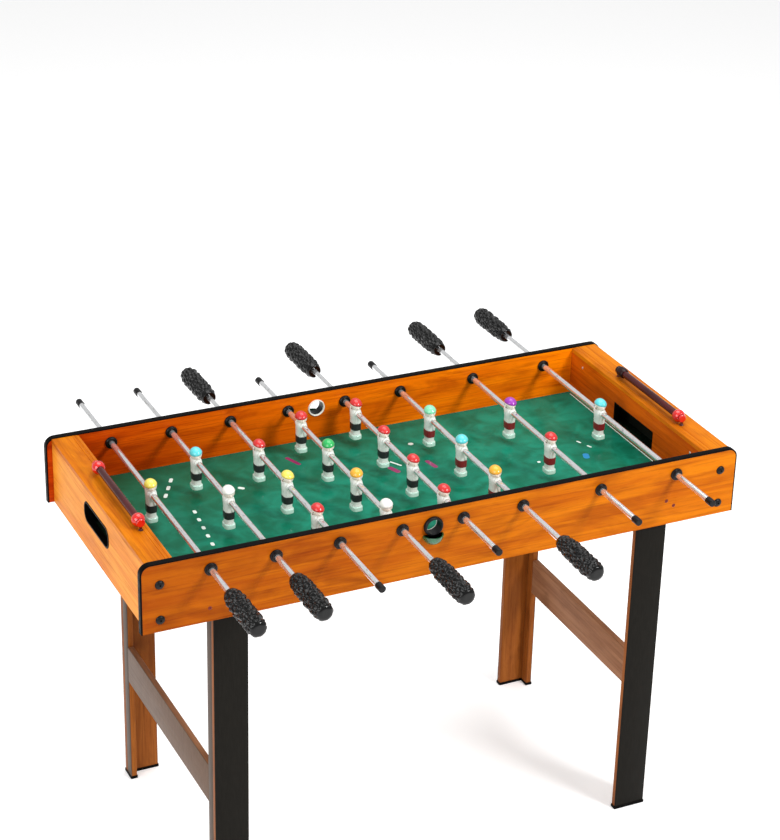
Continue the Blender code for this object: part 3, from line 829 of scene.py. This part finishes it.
def board(low, high, edge, up=2):
    """Rings of a board with eased edges: round-cornered rectangles stacked along one axis, growing over the
    first quarter circle and shrinking over the last."""
    low, high = np.asarray(low, float), np.asarray(high, float)
    flat = [axis for axis in range(3) if axis != up]
    size, middle = high - low, (low + high) / 2
    quarter = np.linspace(0.12, np.pi / 2, 4)
    radii = np.concatenate([edge * np.sin(quarter), edge * np.sin(quarter[::-1])])
    levels = np.concatenate([
        low[up] + edge * (1 - np.cos(quarter)),
        high[up] - edge * (1 - np.cos(quarter[::-1])),
    ])
    unit = rounded_outline(2, 2, 1, 4)
    reach = np.repeat(CORNERS, 4, axis=0) * (size[flat] / 2 - edge)
    rings = np.empty((len(levels), len(unit), 3))
    rings[..., flat] = middle[flat] + reach + radii[:, None, None] * unit
    rings[..., up] = levels[:, None]
    return rings


def leg_boards(node, way_x, way_y):
    """(low, high) of the wide board and of the narrow board of a leg, from its corner."""
    wide, slim = np.array(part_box(node)), np.array(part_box(node))
    outer_x, outer_y = int(way_x > 0), int(way_y > 0)
    wide[1 - outer_y, 1] = wide[outer_y, 1] - way_y * LEG_BOARD
    slim[outer_y, 1] = wide[1 - outer_y, 1]
    slim[1 - outer_x, 0] = slim[outer_x, 0] - way_x * LEG_BOARD
    for low, high in (wide, slim):
        low[2] += LEG_LIFT
    return wide, slim


for end, way_y in ENDS_Y.items():
    for side, way_x in SIDES_X.items():
        node = f"{end}_{side}_leg"
        wide, slim = leg_boards(node, way_x, way_y)
        leg = place(
            f"{node}_boards",
            [(skin(board(*wide, LEG_EDGE)), leg_front), (skin(board(*slim, LEG_EDGE)), leg_side)],
        )
        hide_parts(node)
        feet = []
        for low, high in (wide, slim):
            base, top = (low - FOOT_PROUD) * (1, 1, 0), (high + FOOT_PROUD) * (1, 1, 0)
            top[2] = FOOT_HEIGHT
            feet.append((skin(board(base, top, FOOT_EDGE)), trim_black))
        foot = place(f"{end}_{side}_foot", feet)
        for piece in (leg, foot):
            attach(piece, "cabinet")

# ----------------------------------
# Stretchers. One nine millimetre board joins the two legs at each end, grey-brown outside, with its grain
# across the table.

STRETCHER_BROWN = (0.12, 0.075, 0.052)
STRETCHER_WOOD = ((0.34, 0.16, 0.08), (0.25, 0.11, 0.055), (0.12, 0.045, 0.02))
STRETCHER_EDGE = 0.9 * MM

plain_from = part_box("right_stretcher")[1][0] - 1.0 * MM
stretcher_wood = faced_board("stretcher_laminate", STRETCHER_BROWN, "X", plain_from, STRETCHER_WOOD, "Y")
for side in SIDES_X:
    rings = board(*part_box(f"{side}_stretcher"), STRETCHER_EDGE, up=1)
    stretcher = place(f"{side}_stretcher_board", [(skin(rings), stretcher_wood)])
    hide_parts(f"{side}_stretcher")
    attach(stretcher, "cabinet")

# ----------------------------------
# Score rails. A glossy maroon bar on two slim posts of the same plastic stands on each deck. The right one
# ends in a darker round knob at the back. Small red caps close the other ends.

POLE = 0.05 * MM  # radius at which a turned end closes
BAR_RADIUS = 5 * MM
BAR_HEIGHT = 10.5 * MM
TIP_RADIUS = 5.6 * MM
POST = 4 * MM
POST_SIDES = 28
KNOB_RADIUS = 7.5 * MM
KNOB_LENGTH = 16 * MM

maroon, tree, shader = finish(
    "maroon_bar", (0.06, 0.004, 0.005), 0.24, Specular_IOR_Level=0.3, Coat_Weight=0.15, Coat_Roughness=0.06
)
vary_color(tree, shader, (160, 20, 160), 3, (0.03, 0.002, 0.003), (0.085, 0.006, 0.007))
bead_red, tree, shader = finish(
    "bead_red", (0.62, 0.006, 0.004), 0.16, Coat_Weight=0.8, Coat_Roughness=0.04
)
vary_roughness(tree, shader, (220, 220, 220), 3, 0.12, 0.24)
knob_maroon, _, _ = finish("maroon_knob", (0.014, 0.0015, 0.002), 0.3, Specular_IOR_Level=0.3)


def round_bar(radius, start, end, ease):
    """Profile of a round bar with eased ends."""
    return eased([(POLE, start), (radius, start), (radius, end), (POLE, end)], ease)


for side in SIDES_X:
    low, high = corners_of(f"{side}_score_rail")
    middle_x, middle_y, _ = (low + high) / 2
    deck_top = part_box(f"{side}_end_deck")[1][2]
    centre = (middle_x, middle_y, deck_top + BAR_HEIGHT)
    half = (high[1] - low[1]) / 2
    post = eased(
        [
            (POLE, 0),
            (POST * 0.75, 0),
            (POST * 0.75, 0.8 * MM),
            (POST * 0.45, 2 * MM),
            (POST * 0.45, BAR_HEIGHT),
            (POLE, BAR_HEIGHT),
        ],
        0.5 * MM,
    )
    tip = round_bar(TIP_RADIUS, half - POST + 0.4 * MM, half, 1.2 * MM)
    shapes = [(skin(turned(round_bar(BAR_RADIUS, MM - half, half - MM, MM), centre)), maroon)]
    for way in (-1, 1):
        foot = (middle_x, middle_y + way * (half - POST / 2), deck_top + 0.05 * MM)
        shapes.append((skin(turned(post, foot, "Z", POST_SIDES)), maroon))
        shade = knob_maroon if side == "right" and way > 0 else bead_red
        shapes.append((skin(turned(tip * (1, way), centre)), shade))
    if side == "right":
        back = half - POST
        front = back - KNOB_LENGTH
        knob = eased(
            [
                (POLE, front),
                (KNOB_RADIUS - MM, front),
                (KNOB_RADIUS, front + 4 * MM),
                (KNOB_RADIUS, back - 3 * MM),
                (KNOB_RADIUS - 2 * MM, back),
                (POLE, back),
            ],
            2 * MM,
        )
        shapes.append((skin(turned(knob, centre)), knob_maroon))
    rail = place(f"{side}_rail", shapes)
    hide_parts(f"{side}_score_rail")
    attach(rail, "cabinet")

# ----------------------------------
# Score beads. Glossy red balls that slide along the bars to keep the score.

BEAD_RADIUS = 9 * MM
BEAD_BORE = 5.4 * MM
BEAD_SIDES = 48

for bead in ("left_front_score_bead", "left_back_score_bead", "right_score_bead"):
    tilt = math.acos(BEAD_BORE / BEAD_RADIUS)
    turn = np.linspace(-tilt, tilt, 25)
    outside = np.column_stack([BEAD_RADIUS * np.cos(turn), BEAD_RADIUS * np.sin(turn)])
    rings = turned(outside, middle_of(bead), sides=BEAD_SIDES)
    ball = place(f"{bead}_ball", [(skin(rings, loop=True), bead_red)])
    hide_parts(bead)
    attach(ball, bead)

# ----------------------------------
# Rods. Eight millimetre chromed steel tube, one for each row. A black cap closes the bare end.

ROD_RADIUS = 4 * MM
ROD_CAP_RADIUS = 4.9 * MM
ROD_CAP_LENGTH = 12 * MM
ROD_CAP_END = 1.0 * MM
ROD_EASE = 0.6 * MM

chrome, tree, shader = finish("chromed_tube", (0.87, 0.88, 0.89), 0.14, Metallic=0.85)
vary_roughness(tree, shader, (900, 12, 900), 3, 0.08, 0.17)
vary_color(tree, shader, (500, 120, 500), 4, (0.9, 0.91, 0.92), (0.4, 0.38, 0.36), 0.56, 0.68, 0.6)

for role in ROLES:
    low, high = corners_of(f"{role}_rod")
    grip_y = middle_of(f"{role}_grip")[1]
    axis = (low + high) / 2 * (1, 0, 1)
    bare, way = (high[1], 1) if grip_y < (low[1] + high[1]) / 2 else (low[1], -1)
    tube = round_bar(ROD_RADIUS, low[1], high[1], ROD_EASE)
    rod = place(f"{role}_tube", [(skin(turned(tube, axis)), chrome)])
    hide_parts(f"{role}_rod")
    lip, closed = bare - way * ROD_CAP_LENGTH, bare + way * ROD_CAP_END
    cap_profile = eased(
        [(ROD_RADIUS - 0.3 * MM, lip), (ROD_CAP_RADIUS, lip), (ROD_CAP_RADIUS, closed), (POLE, closed)], MM
    )
    cap = place(f"{role}_rod_cap", [(skin(turned(cap_profile, axis)), bushing_black)])
    for piece in (rod, cap):
        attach(piece, f"{role}_rod")

# ----------------------------------
# Grips. Glossy black rubber moulded over the end of the rod, with a smooth neck, a body of uneven pebbles
# and a rounded end.

GRIP_RADIUS = 14 * MM
GRIP_NECK_RADIUS = 9.5 * MM
GRIP_SIDES = 132
GRIP_ROWS = 160
PEBBLES_ROUND = 10
PEBBLE_ROWS = 11
PEBBLE_JITTER = 0.36  # of a pebble's pitch
PEBBLE_DEPTH = 2.6 * MM
GRIT_DEPTH = 0.12 * MM

grip_black, tree, shader = finish(
    "grip_rubber", (0.002, 0.002, 0.002), 0.2, Specular_IOR_Level=0.2, Coat_Weight=0.2, Coat_Roughness=0.05
)
vary_roughness(tree, shader, (160, 160, 160), 3, 0.1, 0.22)
grit = noise(tree, here_in(tree), (1100, 1100, 1100), 3)
bump = add(tree, "Bump", {"Strength": 0.4, "Distance": GRIT_DEPTH, "Height": grit})
tree.links.new(bump.outputs[0], shader.inputs["Normal"])


def pebbles(angle, along, length, seed):
    """How far each point of a grid is from the grooves between pebbles, 0 to 1: the pebbles' middles stand
    in staggered rows, moved a little at random, and a groove runs where the nearest two are equally near."""
    chance = np.random.default_rng(seed)
    pitch = 2 * np.pi * GRIP_RADIUS / PEBBLES_ROUND
    row, column = np.meshgrid(np.arange(PEBBLE_ROWS), np.arange(PEBBLES_ROUND), indexing="ij")
    moved = chance.uniform(-PEBBLE_JITTER, PEBBLE_JITTER, (2, *row.shape))
    round_it = (column + row % 2 / 2 + moved[0]).ravel() * pitch
    down_it = (row + 0.5 + moved[1]).ravel() * length / PEBBLE_ROWS
    around = pitch * PEBBLES_ROUND
    apart = (angle[None, :, None] * GRIP_RADIUS - round_it + around / 2) % around - around / 2
    distance = np.sqrt(apart**2 + (along[:, None, None] - down_it) ** 2)
    nearest = np.partition(distance, 1, axis=2)[..., :2]
    return np.clip((nearest[..., 1] - nearest[..., 0]) / (0.85 * pitch), 0, 1)


def grip_rings(mouth, end, axis_x, axis_z, seed):
    """A turned grip with rounded pebbles between sunk grooves, which fade out over the neck and the end."""
    length = abs(end - mouth)
    way = 1 if end > mouth else -1
    neck, full = GRIP_NECK_RADIUS, GRIP_RADIUS
    outline = eased(
        [
            (ROD_RADIUS + 0.5 * MM, 0.3 * MM),
            (neck, 0),
            (neck + 0.6 * MM, 3 * MM),
            (full - 1.6 * MM, 8 * MM),
            (full, 24 * MM),
            (full, length - 15 * MM),
            (full - 1.6 * MM, length - 4 * MM),
            (full - 6 * MM, length),
            (0.1 * MM, length),
        ],
        4 * MM,
        9,
    )
    steps = np.concatenate([[0], np.cumsum(np.linalg.norm(np.diff(outline, axis=0), axis=1))])
    walk = np.linspace(0, steps[-1], GRIP_ROWS)
    radius, along = (np.interp(walk, steps, outline[:, column]) for column in (0, 1))
    angle = np.arange(GRIP_SIDES) * 2 * np.pi / GRIP_SIDES
    hollow = (1 - pebbles(angle, along, length, seed)) ** 1.8
    rise = np.clip((along - 5 * MM) / (4 * MM), 0, 1)
    fall = np.clip((length - 2 * MM - along) / (4 * MM), 0.3, 1)
    depth = PEBBLE_DEPTH * rise * fall * (radius > full - 4 * MM)
    sunk = radius[:, None] - depth[:, None] * hollow
    y = np.broadcast_to((mouth + way * along)[:, None], sunk.shape)
    return np.stack([axis_x + sunk * np.cos(angle), y, axis_z + sunk * np.sin(angle)], axis=-1)


for seed, role in enumerate(ROLES):
    low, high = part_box(f"{role}_grip")
    axis = middle_of(f"{role}_rod")
    mouth, end = (high[1], low[1]) if high[1] < axis[1] else (low[1], high[1])
    rings = grip_rings(mouth, end, axis[0], axis[2], seed)
    grip = place(f"{role}_handle", [(skin(rings), grip_black)], crease=60)
    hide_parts(f"{role}_grip")
    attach(grip, f"{role}_set")

# ----------------------------------
# Players. Each is one white plastic moulding: a foot block, legs, shorts, shirt with arms at its sides, a
# hub round the rod and a round head. Hair, face and shorts are painted.

player_white, tree, shader = finish(
    "player_white", (0.76, 0.8, 0.75), 0.28, Coat_Weight=0.3, Coat_Roughness=0.1
)
vary_roughness(tree, shader, (300, 300, 300), 3, 0.22, 0.38)
foot_mint, _, _ = finish(
    "player_foot_mint", (0.5, 0.72, 0.62), 0.22, Coat_Weight=0.4, Coat_Roughness=0.08
)
skin_paint, _, _ = finish("player_face_paint", (0.86, 0.78, 0.68), 0.36)
ink_black, _, _ = finish("player_black_paint", (0.02, 0.018, 0.02), 0.3)
ink_red, _, _ = finish("player_red_paint", (0.2, 0.012, 0.015), 0.3)

HAIR = {
    "cyan": (0.1, 0.62, 0.66),
    "white": (0.8, 0.83, 0.78),
    "red": (0.6, 0.02, 0.02),
    "yellow": (0.8, 0.68, 0.1),
    "green": (0.02, 0.42, 0.1),
    "orange": (0.85, 0.42, 0.03),
    "mint": (0.22, 0.68, 0.42),
    "purple": (0.32, 0.03, 0.42),
}
hair_paints = {
    name: finish(f"hair_{name}", color, 0.28, Coat_Weight=0.4)[0] for name, color in HAIR.items()
}
# From the back of the table to the front, row by row
HEADS = {
    "left_goalkeeper": ["yellow"],
    "left_defence": ["cyan", "white"],
    "right_attack": ["red", "yellow", "red"],
    "left_midfield": ["red", "green", "orange", "white"],
    "right_midfield": ["red", "red", "red", "red"],
    "left_attack": ["mint", "cyan", "orange"],
    "right_defence": ["purple", "red"],
    "right_goalkeeper": ["cyan"],
}
RED_SHORTS = ("left_attack", "right_defence", "right_goalkeeper")
FIGURE_SIDES = 36

# All in millimetres from the rod's axis, facing +X.
# (height, half width, half depth, forward, squareness) up each moulded length
BOOT = [
    (-40, 9.0, 7.0, 0, 3.2),
    (-39.9, 9.7, 7.8, 0, 3.2),
    (-34.4, 9.5, 7.6, 0, 3.2),
    (-33.4, 8.0, 6.2, 0, 2.8),
]
LEGS = [(-34, 8.0, 6.3, 0, 2.8), (-30, 7.6, 6.0, 0, 2.6), (-23.5, 8.0, 6.4, 0, 2.6)]
TRUNKS = [
    (-26.2, 7.8, 6.2, 0, 2.8),
    (-26, 8.7, 7.0, 0, 2.8),
    (-15.8, 8.9, 7.2, 0, 2.8),
    (-15.4, 8.0, 6.4, 0, 2.8),
]
SHIRT = [
    (-16.2, 7.9, 6.2, 0, 2.8),
    (-15.8, 8.6, 6.9, 0, 2.8),
    (-10, 8.4, 6.8, 0, 2.6),
    (-3.5, 9.3, 7.4, 0.2, 2.5),
    (0.8, 9.5, 7.5, 0, 2.4),
    (4.4, 7.8, 6.3, 0, 2.2),
    (6.4, 4.6, 4.4, 0, 2.0),
]
# (radius, place along the rod)
HUB = [(0.1, -9.9), (5.0, -9.9), (5.5, -9.1), (5.5, 9.1), (5.0, 9.9), (0.1, 9.9)]
# The middle and the half sizes of the head, of its hair and of each feature
HEAD = (0, 0, 11.2), (7.9, 9.2, 8.2)
CAP_OF_HAIR = (0, 0, 11.1), (8.8, 10.8, 9.4)
NOSE = (7.7, 0, 8.9), (1.3, 0.9, 1.3)
EYE = (7.1, 3.1, 10.4), (0.75, 1.0, 0.8)
EAR = (0, 9.1, 8.6), (1.4, 0.7, 1.9)
MOUTH = (6.7, 0, 6.3), (0.7, 2.0, 0.45)


def loft(stations, ease):
    """Rings from stations of (height, half width, half depth, forward, squareness): superellipses whose
    exponent is the squareness."""
    smooth = eased(stations, ease)
    height, width, depth, forward, square = (smooth[:, column, None] for column in range(5))
    angle = np.arange(FIGURE_SIDES) * 2 * np.pi / FIGURE_SIDES
    power = 2 / square
    x = forward + depth * np.sign(np.cos(angle)) * np.abs(np.cos(angle)) ** power
    y = width * np.sign(np.sin(angle)) * np.abs(np.sin(angle)) ** power
    return np.stack([x, y, np.broadcast_to(height, x.shape)], axis=-1)


def ellipsoid(shape, side=1, sides=12, rows=8):
    """Rings of an ellipsoid from pole to pole, on this side of the player."""
    middle, radii = shape
    turn = np.linspace(0.04, np.pi - 0.04, rows)
    profile = np.column_stack([np.sin(turn), np.cos(turn)])
    return turned(profile, (0, 0, 0), "Z", sides) * radii + np.multiply(middle, (1, side, 1))


def hair_rings():
    """A broad cap of hair over the head: an ellipsoid from the crown down to a hairline that dips at the
    back, its lip turned in."""
    angle = np.arange(FIGURE_SIDES) * 2 * np.pi / FIGURE_SIDES
    hairline = np.radians(86 - 9 * np.cos(angle))
    share = np.linspace(0.03, 1, 16)[:, None]
    down = share * hairline
    lip = 1 - 0.12 * np.clip((share - 0.9) / 0.1, 0, 1)
    ball = [np.sin(down) * np.cos(angle), np.sin(down) * np.sin(angle), np.cos(down)]
    middle, radii = CAP_OF_HAIR
    return np.stack(ball, axis=-1) * radii * lip[..., None] + middle


def arm_rings(side):
    """An arm held to the body: circles along a bent line from the shoulder to the hand."""
    t = np.linspace(0, 1, 15)[:, None]
    out = side * (7.8 + 0.9 * np.sin(t * 2.4))
    centre = np.concatenate([0.8 + 2.0 * t**2, out, 1.4 - 17 * t], axis=1)
    radius = (2.3 - 0.5 * t) * np.sqrt(np.clip(1 - (2 * t - 1) ** 14, 0.03, 1))
    angle = np.arange(16) * np.pi / 8
    circle = np.stack([np.cos(angle), np.sin(angle), np.zeros(16)], axis=-1)
    return centre[:, None] + radius[..., None] * circle


def figure_shapes(hair, shorts):
    """(rings, material) of a player in millimetres about the rod's axis, facing +X."""
    shapes = [
        (loft(BOOT, 0.8), foot_mint),
        (loft(LEGS, 2.0), player_white),
        (loft(TRUNKS, 0.5), shorts),
        (loft(SHIRT, 2.4), player_white),
        (turned(eased(HUB, 0.6), (0, 0, 0), "Y", 32), player_white),
        (ellipsoid(HEAD, 1, FIGURE_SIDES, 20), skin_paint),
        (hair_rings(), hair),
        (ellipsoid(MOUTH), ink_red),
        (ellipsoid(NOSE), skin_paint),
    ]
    for side in (-1, 1):
        shapes += [
            (ellipsoid(EYE, side), ink_black),
            (ellipsoid(EAR, side), skin_paint),
            (arm_rings(side), player_white),
        ]
    return shapes


for role, heads in HEADS.items():
    axis = middle_of(f"{role}_rod")
    facing = 1 if role.startswith("left") else -1
    shorts = ink_red if role in RED_SHORTS else ink_black
    nodes = [f"{role}_player_{number}" for number in range(1, len(heads) + 1)]
    nodes.sort(key=lambda node: -middle_of(node)[1])
    for node, head in zip(nodes, heads):
        centre = np.array([axis[0], middle_of(node)[1], axis[2]])
        turn = np.array([facing, facing, 1]) * MM
        shapes = figure_shapes(hair_paints[head], shorts)
        skins = [(skin(rings * turn + centre), material) for rings, material in shapes]
        figure = place(f"{node}_figure", skins, crease=50)
        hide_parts(node)
        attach(figure, f"{role}_set")
